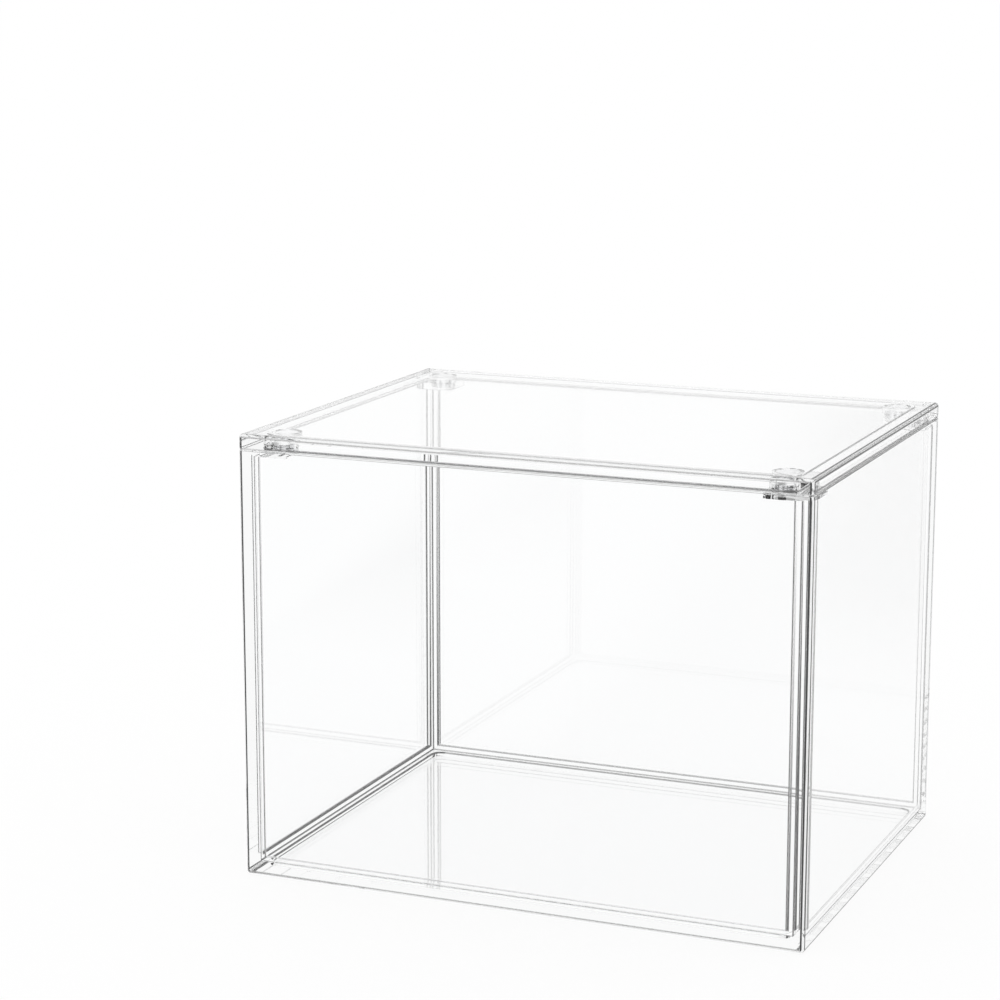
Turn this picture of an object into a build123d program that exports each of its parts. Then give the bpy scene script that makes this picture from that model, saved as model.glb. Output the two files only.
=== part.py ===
"""Clear protective case for a game box: a moulded tub with a magnetic lift-off lid.

Millimetres, +Z up. The origin is the centre of the face that the case stands on.
X runs along the long side, and the front is at -Y.
"""
from build123d import *
import os

# Overall size of the closed case
width = 148.0
depth = 113.0
height = 114.0

# Clear moulding: thin panels between thicker rails, flush on the outside
panel = 2.0
rail = 4.5
edge_radius = 1.0
rail_radius = 0.4
root_radius = 0.3

# Lid
rim_height = 3.9
recess_corner_radius = 3.5

# Disc magnets, in facing pairs near the corners
magnet_diameter = 5.4
magnet_thickness = 1.0
magnet_inset = 9.0
pocket_clearance = 0.1
pocket_recess = 0.05
boss_wall = 1.0
gusset_wall = 0.8
gusset_floor = 0.7

# The seam is the plane where the lid rests on the tub
seam = height - rim_height
pocket_depth = magnet_thickness + pocket_recess
pocket_radius = magnet_diameter / 2 + pocket_clearance

corners = {
    "front_left": (-1, -1),
    "front_right": (1, -1),
    "rear_left": (-1, 1),
    "rear_right": (1, 1),
}


def magnet_centres():
    """Centres of the four magnets in plan, in the order of the corners."""
    reach_x = width / 2 - magnet_inset
    reach_y = depth / 2 - magnet_inset
    return [(side_x * reach_x, side_y * reach_y) for side_x, side_y in corners.values()]


def make_tub():
    """Tub: hollowed between its rails and posts, with a gusset in each top corner."""
    with BuildPart() as tub:
        with BuildSketch():
            RectangleRounded(width, depth, edge_radius)
        extrude(amount=seam)
        fillet(tub.faces().sort_by(Axis.Z)[0].edges(), edge_radius)

        # Chamber inside the side walls, with a post standing in each corner
        with BuildSketch(Plane.XY.offset(rail)) as chamber:
            Rectangle(width - 2 * panel, depth - 2 * rail)
            Rectangle(width - 2 * rail, depth - 2 * panel)
            fillet(chamber.vertices().sort_by_distance((0, 0))[4:], root_radius)
            fillet(chamber.vertices().sort_by_distance((0, 0))[:4], rail_radius)
        extrude(amount=seam - rail, mode=Mode.SUBTRACT)

        # Recess down to the floor panel, between the bottom rails
        with BuildSketch(Plane.XY.offset(panel)):
            RectangleRounded(width - 2 * rail, depth - 2 * rail, recess_corner_radius)
        extrude(amount=rail - panel, mode=Mode.SUBTRACT)
        recess_edges = tub.edges(Select.LAST)
        fillet(recess_edges.filter_by_position(Axis.Z, rail, rail), rail_radius)

        # Gussets: corner shelves that carry the magnets
        gusset_radius = pocket_radius + gusset_wall
        gusset_side = magnet_inset + gusset_radius - edge_radius
        gusset_thickness = pocket_depth + gusset_floor
        shelf_reach_x = width / 2 - edge_radius - gusset_side / 2
        shelf_reach_y = depth / 2 - edge_radius - gusset_side / 2
        with BuildSketch(Plane.XY.offset(seam)) as shelves:
            with GridLocations(2 * shelf_reach_x, 2 * shelf_reach_y, 2, 2):
                Rectangle(gusset_side, gusset_side)
            fillet(shelves.vertices().sort_by_distance((0, 0))[:4], gusset_radius)
        extrude(amount=-gusset_thickness)

        with Locations(*[(x, y, seam) for x, y in magnet_centres()]):
            Hole(radius=pocket_radius, depth=pocket_depth)

    tub.part.label = "tub"
    export_step(tub.part, "parts/tub.step")
    return tub.part


def make_lid():
    """Lid: a panel inside a thicker rim, with a ring boss for each magnet."""
    recess_depth = rim_height - panel
    with BuildPart() as lid:
        with BuildSketch(Plane.XY.offset(seam)):
            RectangleRounded(width, depth, edge_radius)
        extrude(amount=rim_height)
        fillet(lid.faces().sort_by(Axis.Z)[-1].edges(), edge_radius)

        with BuildSketch(Plane.XY.offset(seam)):
            RectangleRounded(width - 2 * rail, depth - 2 * rail, recess_corner_radius)
        extrude(amount=recess_depth, mode=Mode.SUBTRACT)
        recess_mouth = lid.faces().filter_by(Plane.XY).sort_by(Axis.Z)[0].inner_wires()[0].edges()
        fillet(recess_mouth, root_radius)

        with BuildSketch(Plane.XY.offset(seam)):
            with Locations(*magnet_centres()):
                Circle(pocket_radius + boss_wall)
                Circle(pocket_radius, mode=Mode.SUBTRACT)
        extrude(amount=recess_depth)
        with BuildSketch(Plane.XY.offset(seam + pocket_depth)):
            with Locations(*magnet_centres()):
                Circle(pocket_radius)
        extrude(amount=recess_depth - pocket_depth)

    lid.part.label = "lid"
    export_step(lid.part, "parts/lid.step")
    return lid.part


def make_magnet(name, centre, bottom):
    """Disc magnet, seated on the floor of its pocket."""
    with BuildPart() as magnet:
        with BuildSketch(Plane.XY.offset(bottom)):
            with Locations(centre):
                Circle(magnet_diameter / 2)
        extrude(amount=magnet_thickness)
    magnet.part.label = name
    export_step(magnet.part, f"parts/{name}.step")
    return magnet.part


os.makedirs("parts", exist_ok=True)
make_tub()
make_lid()
for corner, centre in zip(corners, magnet_centres()):
    make_magnet(f"lid_magnet_{corner}", centre, seam + pocket_recess)
    make_magnet(f"tub_magnet_{corner}", centre, seam - pocket_depth)
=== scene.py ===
# %% [markdown]
# A clear display case for a boxed game: a moulded tub and a lift-off lid, with small disc
# magnets at the corners. The real one is water-clear plastic, so almost everything that the
# eye reads is at its edges, where light is bent and thrown about inside the rails. The solids
# are already at their real size, so they are loaded as a fixed frame. Copies of the clear ones
# are refined here on the inside and at the seam, and every piece gets its finish.

# %% Load the frame
import math

import bmesh
import bpy
from mathutils import Euler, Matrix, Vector


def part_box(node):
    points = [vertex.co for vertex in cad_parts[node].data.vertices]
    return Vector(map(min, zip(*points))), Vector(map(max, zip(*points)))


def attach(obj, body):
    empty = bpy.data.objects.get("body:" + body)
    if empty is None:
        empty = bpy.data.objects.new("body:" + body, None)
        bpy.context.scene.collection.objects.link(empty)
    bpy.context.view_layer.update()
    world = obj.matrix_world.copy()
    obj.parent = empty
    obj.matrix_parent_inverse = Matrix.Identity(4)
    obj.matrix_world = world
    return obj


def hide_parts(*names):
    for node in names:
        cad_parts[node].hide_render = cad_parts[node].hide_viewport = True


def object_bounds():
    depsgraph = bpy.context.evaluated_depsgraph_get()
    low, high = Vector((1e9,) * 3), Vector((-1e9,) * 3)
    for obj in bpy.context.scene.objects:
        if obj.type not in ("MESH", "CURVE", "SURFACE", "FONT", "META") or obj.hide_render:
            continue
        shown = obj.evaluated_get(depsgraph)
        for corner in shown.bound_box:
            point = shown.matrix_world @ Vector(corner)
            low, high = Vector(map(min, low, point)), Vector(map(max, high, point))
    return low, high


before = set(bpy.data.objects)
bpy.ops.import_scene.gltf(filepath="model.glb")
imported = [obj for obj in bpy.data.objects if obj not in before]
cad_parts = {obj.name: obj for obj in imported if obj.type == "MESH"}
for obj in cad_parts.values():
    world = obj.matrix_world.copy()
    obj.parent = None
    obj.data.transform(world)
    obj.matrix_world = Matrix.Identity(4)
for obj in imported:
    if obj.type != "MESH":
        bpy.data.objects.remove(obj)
solid_low, solid_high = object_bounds()
case_size = solid_high - solid_low
print("case in mm:", [round(side * 1000, 1) for side in case_size])

# %% [markdown]
# A camera can be placed by hand or worked out. Seven corners of the case show in the picture,
# so its place, heading and lens were solved from them. The lens is long, which keeps the
# uprights almost parallel, and the camera looks down only a little. Nothing is shifted.

# %% Camera
camera_place = Vector((0.2556, -0.6678, 0.2405))
camera_heading = math.radians(22.98)
camera_drop = math.radians(11.70)
lens_per_frame = 2.844
sensor_width = 36.0

camera_data = bpy.data.cameras.new("camera")
camera_data.sensor_width = sensor_width
camera_data.lens = lens_per_frame * sensor_width
camera_data.clip_start = 0.01
camera_data.clip_end = 100.0
camera = bpy.data.objects.new("camera", camera_data)
camera.location = camera_place
camera.rotation_euler = Euler((math.pi / 2 - camera_drop, 0.0, camera_heading))
bpy.context.scene.collection.objects.link(camera)
bpy.context.scene.camera = camera
print("lens in mm:", round(camera_data.lens, 1))

# %% [markdown]
# The materials and the world are small node trees, and each needs the same two steps: add a
# node with its settings, and link it to the ones that feed it. A short function for that keeps
# the trees below easy to read.

# %% A helper for node trees
def add_node(tree, kind, inputs=None, **settings):
    """Add a node, set its properties, then fill or link its inputs."""
    node = tree.nodes.new("ShaderNode" + kind)
    for name, value in settings.items():
        setattr(node, name, value)
    for name, value in (inputs or {}).items():
        if isinstance(value, bpy.types.NodeSocket):
            tree.links.new(value, node.inputs[name])
        else:
            node.inputs[name].default_value = value
    return node


# %% [markdown]
# The room is white, with dark cards round it and a dark ceiling. Only light that has been
# thrown about inside the plastic meets the dark parts, and the more often it was reflected,
# the more it meets of them. So the panels stay clean, and the rails and corners show lines.
# Light that is trapped along a whole wall comes out mixed, so it meets an even pale grey.
# The floor uses the same two functions, because much of that light ends there.

# %% Studio
# Where the cards begin and end, as the sine of the angle from straight ahead or behind
front_card = (0.14, 0.26)
side_card = (0.70, 0.82)
ceiling_rise = (0.45, 0.75)
ceiling_light = 0.05
more_than_once = 1.5
first_share = 0.2
trapped_after = 8.5
trapped_grey = 0.96


def card_light(tree, direction):
    """Brightness round the case: narrow cards at the front and rear, wide ones at the sides."""
    axes = add_node(tree, "SeparateXYZ", {0: direction})
    angle = add_node(tree, "Math", {0: axes.outputs["X"], 1: axes.outputs["Y"]}, operation="ARCTAN2")
    turned = add_node(tree, "Math", {0: angle.outputs[0]}, operation="SINE")
    sideways = add_node(tree, "Math", {0: turned.outputs[0]}, operation="ABSOLUTE")
    past_front = add_node(tree, "MapRange", {
        "Value": sideways.outputs[0],
        "From Min": front_card[0], "From Max": front_card[1], "To Min": 0.0, "To Max": 1.0,
    }, interpolation_type="SMOOTHSTEP")
    before_side = add_node(tree, "MapRange", {
        "Value": sideways.outputs[0],
        "From Min": side_card[0], "From Max": side_card[1], "To Min": 1.0, "To Max": 0.0,
    }, interpolation_type="SMOOTHSTEP")
    light = add_node(tree, "Math", {
        0: past_front.outputs[0], 1: before_side.outputs[0],
    }, operation="MULTIPLY")
    return light.outputs[0]


def light_met(tree, studio):
    """White for a straight ray, the studio for a reflected one, and even grey for trapped light."""
    times = add_node(tree, "LightPath").outputs["Glossy Depth"]
    first = add_node(tree, "Math", {0: times, 1: first_share}, operation="MULTIPLY")
    again = add_node(tree, "Math", {0: times, 1: more_than_once}, operation="GREATER_THAN")
    share = add_node(tree, "Math", {
        0: first.outputs[0], 1: again.outputs[0],
    }, operation="MAXIMUM", use_clamp=True)
    room = add_node(tree, "Mix", {"Factor": share.outputs[0], "A": 1.0, "B": studio}, data_type="FLOAT")
    trapped = add_node(tree, "Math", {0: times, 1: trapped_after}, operation="GREATER_THAN")
    met = add_node(tree, "Mix", {
        "Factor": trapped.outputs[0], "A": room.outputs["Result"], "B": trapped_grey,
    }, data_type="FLOAT")
    return met.outputs["Result"]


def studio_world(name):
    world = bpy.data.worlds.new(name)
    world.use_nodes = True
    tree = world.node_tree
    tree.nodes.clear()
    direction = add_node(tree, "TexCoord")
    axes = add_node(tree, "SeparateXYZ", {0: direction.outputs["Generated"]})
    ceiling = add_node(tree, "MapRange", {
        "Value": axes.outputs["Z"],
        "From Min": ceiling_rise[0], "From Max": ceiling_rise[1], "To Min": 1.0, "To Max": ceiling_light,
    }, interpolation_type="SMOOTHSTEP")
    studio = add_node(tree, "Math", {
        0: card_light(tree, direction.outputs["Generated"]), 1: ceiling.outputs[0],
    }, operation="MULTIPLY")
    background = add_node(tree, "Background", {
        "Color": light_met(tree, studio.outputs[0]), "Strength": 1.0,
    })
    add_node(tree, "OutputWorld", {"Surface": background.outputs[0]})
    return world


scene = bpy.context.scene
scene.world = studio_world("studio")
scene.view_settings.view_transform = "Standard"

# Light goes from side to side inside a clear wall sixty times and more before it leaves
wall_bounces = 96
scene.cycles.max_bounces = wall_bounces
scene.cycles.transmission_bounces = wall_bounces
scene.cycles.glossy_bounces = wall_bounces
print("light bounces at most:", wall_bounces)

# %% [markdown]
# The floor is a white sweep without a horizon. Most of its white is its own, for rays that
# see it straight or through the plastic, and the rest is lit, so that the case still leaves a
# pale shade where it stands. It lies a hair below the case, so that two faces never share one
# plane.

# %% Floor
floor_reach = 40.0
floor_level = -0.0001
own_white = 0.92
cards_from = 0.15
cards_to = 0.30


def white_sweep(name):
    finish = bpy.data.materials.new(name)
    finish.use_nodes = True
    tree = finish.node_tree
    tree.nodes.clear()
    path = add_node(tree, "LightPath")
    seen = add_node(tree, "Math", {
        0: path.outputs["Is Camera Ray"], 1: path.outputs["Is Glossy Ray"],
    }, operation="MAXIMUM")
    seen_through = add_node(tree, "Math", {
        0: seen.outputs[0], 1: path.outputs["Is Transmission Ray"],
    }, operation="MAXIMUM")
    share = add_node(tree, "Math", {0: seen_through.outputs[0], 1: own_white}, operation="MULTIPLY")

    # The cards stand a little way off, and reach the floor there
    place = add_node(tree, "TexCoord")
    away = add_node(tree, "VectorMath", {0: place.outputs["Object"]}, operation="LENGTH")
    off_cards = add_node(tree, "MapRange", {
        "Value": away.outputs["Value"],
        "From Min": cards_from, "From Max": cards_to, "To Min": 1.0, "To Max": 0.0,
    })
    cards = add_node(tree, "Math", {
        0: card_light(tree, place.outputs["Object"]), 1: off_cards.outputs[0],
    }, operation="MAXIMUM")
    ground = light_met(tree, cards.outputs[0])

    lit = add_node(tree, "BsdfDiffuse", {"Color": ground})
    own = add_node(tree, "Emission", {"Color": ground, "Strength": 1.0})
    mixed = add_node(tree, "MixShader", {0: share.outputs[0], 1: lit.outputs[0], 2: own.outputs[0]})
    add_node(tree, "OutputMaterial", {"Surface": mixed.outputs[0]})
    return finish


corner_signs = [(-1, -1), (1, -1), (1, 1), (-1, 1)]
floor_corners = [(x * floor_reach, y * floor_reach, floor_level) for x, y in corner_signs]
floor_mesh = bpy.data.meshes.new("floor")
floor_mesh.from_pydata(floor_corners, [], [(0, 1, 2, 3)])
floor_mesh.materials.append(white_sweep("white_sweep"))
floor = bpy.data.objects.new("floor", floor_mesh)
scene.collection.objects.link(floor)
print("floor reach in m:", floor_reach)

# %% [markdown]
# The case is moulded from clear acrylic. Its index of 1.49 is what traps light in the rails.
# A rounded edge bends light away to where the room is dark, so the eye sees it as a thin grey
# line. That darkness is a painted shade: the edge_shade values, painted on the mesh below, carry
# it, and where they are high the plastic is painted dark and lets little light through. Light
# that has been reflected more than once doesn't meet them, so that no images of the lines run
# down inside the walls.
# Moulded panels are never quite flat or quite clean, so broad, very shallow waves bend the
# light a little, and a trace of haze comes and goes over the surface.

# %% Clear acrylic
wave_scale = 45.0
wave_depth = 0.00001
haze_scale = 160.0
haze_noise = (0.5, 0.8)
haze_roughness = 0.006
acrylic_index = 1.49
clear_tint = (0.995, 0.997, 0.998, 1.0)
# The colour of the painted shade on the rounded edges, near black
painted_edge_shade_colour = (0.002, 0.002, 0.003, 1.0)


def clear_acrylic(name):
    finish = bpy.data.materials.new(name)
    finish.use_nodes = True
    tree = finish.node_tree
    edges = add_node(tree, "Attribute", attribute_name="edge_shade")
    path = add_node(tree, "LightPath")
    direct = add_node(tree, "Math", {
        0: path.outputs["Glossy Depth"], 1: more_than_once,
    }, operation="LESS_THAN")
    # The painted edge shade darkens the colour and cuts the light let through, for rays reflected at most
    # once
    shade = add_node(tree, "Math", {
        0: edges.outputs["Fac"], 1: direct.outputs[0],
    }, operation="MULTIPLY").outputs[0]
    colour = add_node(tree, "Mix", {"Factor": shade, "A": clear_tint, "B": painted_edge_shade_colour}, data_type="RGBA")
    clear = add_node(tree, "Math", {0: 1.0, 1: shade}, operation="SUBTRACT")
    shader = tree.nodes["Principled BSDF"]
    tree.links.new(colour.outputs["Result"], shader.inputs["Base Color"])
    tree.links.new(clear.outputs[0], shader.inputs["Transmission Weight"])
    shader.inputs["IOR"].default_value = acrylic_index

    place = add_node(tree, "TexCoord")
    waves = add_node(tree, "TexNoise", {
        "Vector": place.outputs["Object"], "Scale": wave_scale, "Detail": 1.0,
    })
    relief = add_node(tree, "Bump", {
        "Strength": 1.0, "Distance": wave_depth, "Height": waves.outputs["Fac"],
    })
    tree.links.new(relief.outputs["Normal"], shader.inputs["Normal"])
    cloud = add_node(tree, "TexNoise", {
        "Vector": place.outputs["Object"], "Scale": haze_scale, "Detail": 3.0,
    })
    haze = add_node(tree, "MapRange", {
        "Value": cloud.outputs["Fac"],
        "From Min": haze_noise[0], "From Max": haze_noise[1], "To Min": 0.0, "To Max": haze_roughness,
    })
    tree.links.new(haze.outputs[0], shader.inputs["Roughness"])
    return finish


acrylic = clear_acrylic("clear_acrylic")
print("acrylic nodes:", len(acrylic.node_tree.nodes))

# %% [markdown]
# The magnets are pressed discs with a bright nickel plate. Tumbling leaves such plate with a
# fine, uneven grain, which shows as a slight change of gloss from place to place.

# %% Nickel
grain_scale = 1500.0
grain_depth = 0.000002
grain_noise = (0.3, 0.7)
grain_roughness = (0.06, 0.16)
nickel_tint = (0.93, 0.93, 0.94, 1.0)


def nickel_plate(name):
    finish = bpy.data.materials.new(name)
    finish.use_nodes = True
    tree = finish.node_tree
    shader = tree.nodes["Principled BSDF"]
    shader.inputs["Base Color"].default_value = nickel_tint
    shader.inputs["Metallic"].default_value = 1.0

    place = add_node(tree, "TexCoord")
    grain = add_node(tree, "TexNoise", {
        "Vector": place.outputs["Object"], "Scale": grain_scale, "Detail": 3.0,
    })
    gloss = add_node(tree, "MapRange", {
        "Value": grain.outputs["Fac"],
        "From Min": grain_noise[0], "From Max": grain_noise[1],
        "To Min": grain_roughness[0], "To Max": grain_roughness[1],
    })
    tree.links.new(gloss.outputs[0], shader.inputs["Roughness"])
    relief = add_node(tree, "Bump", {
        "Strength": 1.0, "Distance": grain_depth, "Height": grain.outputs["Fac"],
    })
    tree.links.new(relief.outputs["Normal"], shader.inputs["Normal"])
    return finish


nickel = nickel_plate("nickel_plate")
print("nickel nodes:", len(nickel.node_tree.nodes))

# %% [markdown]
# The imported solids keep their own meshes, and a copy of each clear one is what shows. On the
# outside of the copies, the edges that meet at the seam are slightly broken, which draws the
# seam as a pair of fine lines.

# %% Broken edges at the seam
same_place = 0.000001
flat_angle = 0.002
corner_angle = 1.0
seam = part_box("lid")[0].z
seam_break = 0.0004
seam_break_steps = 4
skin = 0.0011


def on_outer_seam(edge):
    """Whether an edge runs round the outside of the case at the seam."""
    middle = (edge.verts[0].co + edge.verts[1].co) / 2
    level = max(abs(vertex.co.z - seam) for vertex in edge.verts) < same_place
    outside = abs(middle.x) > solid_high.x - skin or abs(middle.y) > solid_high.y - skin
    return level and outside and edge.is_manifold and edge.calc_face_angle() > corner_angle


def merge_flat_faces(shape):
    bmesh.ops.dissolve_limit(shape, angle_limit=flat_angle, verts=shape.verts, edges=shape.edges)


def round_edges(shape, edges, radius, steps):
    bmesh.ops.bevel(
        shape, geom=edges, offset=radius, offset_type="OFFSET",
        segments=steps, profile=0.5, affect="EDGES",
    )


def break_seam_edge(shape):
    merge_flat_faces(shape)
    seam_edges = [edge for edge in shape.edges if on_outer_seam(edge)]
    round_edges(shape, seam_edges, seam_break, seam_break_steps)
    bmesh.ops.triangulate(shape, faces=shape.faces)
    print("edges broken at the seam:", len(seam_edges))


print("seam in mm:", round(seam * 1000, 2))

# %% [markdown]
# The fine lines in the picture suggest how the posts and rails are shaped inside. Each face
# of the tub is taken to have a border strip, wider than it is thick, so that a post or a bottom
# rail is shaped like an L where two faces meet. The inner edges are first moved in to the width of a strip,
# and the rim of the lid keeps in line with them.

# %% Border strips
# Depths below the outer faces, before and after: the inner edges of posts and rails move
depth_marks = [(0.0023, 0.0023), (0.0045, 0.0048), (0.0055, 0.0055)]
strip_width = depth_marks[1][1]


def strip_depth(depth):
    for (low, low_to), (high, high_to) in zip(depth_marks, depth_marks[1:]):
        if low <= depth <= high:
            return low_to + (high_to - low_to) * (depth - low) / (high - low)
    return depth


def widen_strips(shape, with_floor):
    for vertex in shape.verts:
        for axis in (0, 1):
            part = vertex.co[axis]
            depth = strip_depth(solid_high[axis] - abs(part))
            vertex.co[axis] = math.copysign(solid_high[axis] - depth, part)
        if with_floor:
            vertex.co.z = strip_depth(vertex.co.z)


print("strip width in mm:", round(strip_width * 1000, 1))

# %% [markdown]
# A rounded block, smaller than the case by the thickness of a strip, now takes the inner corner
# off every post and rail of the tub, from just under the gussets to the floor. The edges that
# this leaves standing out are rounded.

# %% Inner corners taken off
strip_thickness = 0.0032
strip_top = 0.1083
strip_edge_radius = 0.0004
strip_edge_steps = 8
strip_root_radius = 0.0003
strip_root_steps = 10
squarely = 0.999


def add_block(name):
    """A block with rounded roots, to cut with."""
    shape = bmesh.new()
    bmesh.ops.create_cube(shape, size=2.0)
    for vertex in shape.verts:
        vertex.co.x *= solid_high.x - strip_thickness
        vertex.co.y *= solid_high.y - strip_thickness
        vertex.co.z = strip_top if vertex.co.z > 0 else strip_thickness
    roots = [edge for edge in shape.edges if min(vertex.co.z for vertex in edge.verts) < strip_top]
    round_edges(shape, roots, strip_root_radius, strip_root_steps)
    mesh = bpy.data.meshes.new(name)
    shape.to_mesh(mesh)
    shape.free()
    block = bpy.data.objects.new(name, mesh)
    scene.collection.objects.link(block)
    return block


def plain_mesh(piece):
    """The mesh of an object with its modifiers applied."""
    return bpy.data.meshes.new_from_object(piece.evaluated_get(bpy.context.evaluated_depsgraph_get()))


def take_off_block(shape):
    mesh = bpy.data.meshes.new("uncut")
    shape.to_mesh(mesh)
    body = bpy.data.objects.new("uncut", mesh)
    scene.collection.objects.link(body)
    block = add_block("block")
    cut = body.modifiers.new("cut", "BOOLEAN")
    cut.operation = "DIFFERENCE"
    cut.solver = "EXACT"
    cut.object = block
    shape.clear()
    shape.from_mesh(plain_mesh(body))
    bpy.data.objects.remove(body)
    bpy.data.objects.remove(block)


def on_block_side(face):
    """Whether a face was cut by a flat side of the block."""
    middle = face.calc_center_median()
    depths = (solid_high.x - abs(middle.x), solid_high.y - abs(middle.y), middle.z)
    return any(
        abs(depth - strip_thickness) < same_place and abs(part) > squarely
        for depth, part in zip(depths, face.normal)
    )


def is_strip_edge(edge):
    """Whether an edge lies between a cut face and an older one, below the gussets, and stands out."""
    if not edge.is_manifold or not edge.is_convex or edge.calc_face_angle() < corner_angle:
        return False
    below = max(vertex.co.z for vertex in edge.verts) < strip_top + same_place
    return below and sum(on_block_side(face) for face in edge.link_faces) == 1


def cut_strips(shape):
    take_off_block(shape)
    bmesh.ops.remove_doubles(shape, verts=shape.verts, dist=same_place)
    merge_flat_faces(shape)
    strip_edges = [edge for edge in shape.edges if is_strip_edge(edge)]
    round_edges(shape, strip_edges, strip_edge_radius, strip_edge_steps)
    bmesh.ops.triangulate(shape, faces=shape.faces)
    print("edges rounded on the strips:", len(strip_edges))


print("strip thickness in mm:", round(strip_thickness * 1000, 1))

# %% [markdown]
# Now the copies are made. Where the lid rests on the tub, and a magnet on its pocket, two faces
# share a plane, so a hairline of air is left there, as in the real case, and the plastic
# reflects as it should. The rounded edges are shaded smoothly. Weighted normals keep the large
# faces flat, so that the bend of the light stays on the edges.

# %% Copies of the clear pieces
sharp_angle = math.radians(32)
hairline = 0.00003
pocket_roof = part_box("lid_magnet_front_left")[1].z
pocket_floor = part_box("tub_magnet_front_left")[0].z
resting_planes = {
    "tub": [(pocket_floor, -hairline)],
    "lid": [(seam, hairline), (pocket_roof, hairline)],
}


def leave_hairlines(shape, planes):
    for plane, step in planes:
        for vertex in shape.verts:
            if abs(vertex.co.z - plane) < same_place:
                vertex.co.z += step


def shade_roundings(shape):
    for face in shape.faces:
        face.smooth = True
    for edge in shape.edges:
        edge.smooth = edge.is_manifold and edge.calc_face_angle() < sharp_angle


def weigh_normals(piece):
    weighted = piece.modifiers.new("weighted", "WEIGHTED_NORMAL")
    weighted.weight = 100
    weighted.keep_sharp = True
    piece.data = plain_mesh(piece)
    piece.modifiers.clear()


def refined_copy(node_name):
    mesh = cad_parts[node_name].data.copy()
    shape = bmesh.new()
    shape.from_mesh(mesh)
    bmesh.ops.remove_doubles(shape, verts=shape.verts, dist=same_place)
    break_seam_edge(shape)
    widen_strips(shape, with_floor=node_name == "tub")
    if node_name == "tub":
        cut_strips(shape)
    leave_hairlines(shape, resting_planes[node_name])
    shade_roundings(shape)
    shape.to_mesh(mesh)
    shape.free()
    piece = bpy.data.objects.new(node_name + "_clear", mesh)
    scene.collection.objects.link(piece)
    weigh_normals(piece)
    print(node_name, "faces:", len(piece.data.polygons))
    return piece


clear_pieces = {name: refined_copy(name) for name in ("tub", "lid")}

# %% [markdown]
# A rounded edge is a run of narrow facets, much narrower than those of the wide curves round
# the magnets. The widest roundings, on the outside, are painted with two fine lines of shade, one
# where each flat face starts to turn, with a paler painted shade in the middle. The small ones are
# painted with a single line of shade. Edges along the front and back get a paler painted shade than
# the rest, as in the picture. The shade is kept for each corner of each face, so that none of it
# spreads over a flat panel.

# %% Painted shade of the rounded edges
flat_turn = 0.0001
outer_facet = 0.0003
rail_facet = 0.0001
root_facet = 0.00005
line_turn = 0.07
line_shade = 0.97
middle_shade = 0.1
rail_shade = 0.88
root_shade = 0.8
square_to_x = 0.05
# Edges along the front and back get only this share of the painted shade
front_back_painted_shade_share = 0.55


def facet_shade(face, mesh):
    """Painted shade of a face, by its width and by how far it is turned from the nearest axis."""
    corners = [mesh.vertices[index].co for index in face.vertices]
    longest = max((corners[place] - corners[place - 1]).length for place in range(len(corners)))
    width = 2.0 * face.area / longest
    turn = 1.0 - max(abs(part) for part in face.normal)
    # A paler painted shade on edges that run along the front and back
    share = front_back_painted_shade_share if abs(face.normal.x) < square_to_x else 1.0
    if width > outer_facet or turn < flat_turn:
        return 0.0
    if width < root_facet:
        return share * root_shade
    if width < rail_facet:
        return share * rail_shade
    return share * (line_shade if turn < line_turn else middle_shade)


# Paint the shade of the rounded edges onto the mesh, per face corner
def paint_edges(piece):
    mesh = piece.data
    shades = []
    for face in mesh.polygons:
        shades += [facet_shade(face, mesh)] * face.loop_total
    attribute = mesh.attributes.new("edge_shade", "FLOAT", "CORNER")
    attribute.data.foreach_set("value", shades)
    print(piece.name, "shaded corners:", sum(shade > 0.0 for shade in shades), "of", len(shades))


for piece in clear_pieces.values():
    paint_edges(piece)

# %% [markdown]
# Each copy now takes the place of its solid and rides on the same body, so it moves with the
# joint: the lid's copy lifts with the lid. The magnets are plain discs, so their own solids
# are kept and only get the plate.

# %% Dress the pieces
bodies = {"tub": "tub_body", "lid": "lid_body"}
for name, piece in clear_pieces.items():
    piece.data.materials.clear()
    piece.data.materials.append(acrylic)
    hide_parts(name)
    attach(piece, bodies[name])

for name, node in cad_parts.items():
    if "magnet" in name:
        node.data.materials.clear()
        node.data.materials.append(nickel)
